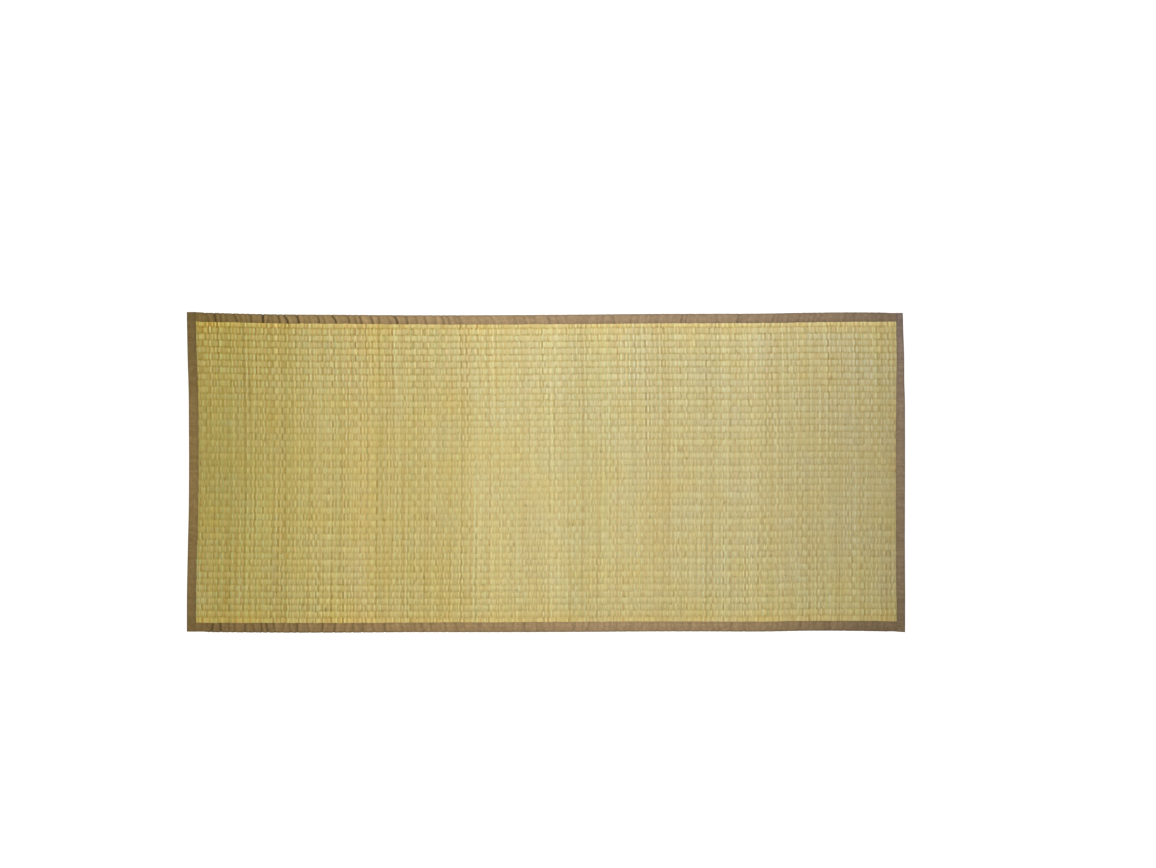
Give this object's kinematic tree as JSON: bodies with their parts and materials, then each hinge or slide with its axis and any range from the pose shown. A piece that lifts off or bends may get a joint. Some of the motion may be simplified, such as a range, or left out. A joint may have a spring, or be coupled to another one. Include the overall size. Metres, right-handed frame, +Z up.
{
  "type": "rush sleeping mat",
  "caption": "Flat rectangular sleeping mat of plain-woven rushes, bound along all its sides with folded brown cloth tape, puckered on the long sides.",
  "frame": {"origin": "under the middle of the mat, on the plane it rests on", "axes": "+X along the length, +Y across the width, +Z up out of the floor"},
  "size_m": [2.0032, 0.892, 0.0052],
  "materials": {
    "rush": "dried rush stalks, straw, green-straw and golden, satin",
    "binding_cloth": "brown plain-woven cotton tape, matt",
    "thread": "brown sewing thread, matt"
  },
  "bodies": {
    "root": {"rush_field": "rush", "back_binding": "binding_cloth", "front_binding": "binding_cloth", "left_binding": "binding_cloth", "right_binding": "binding_cloth"}
  },
  "joints": []
}
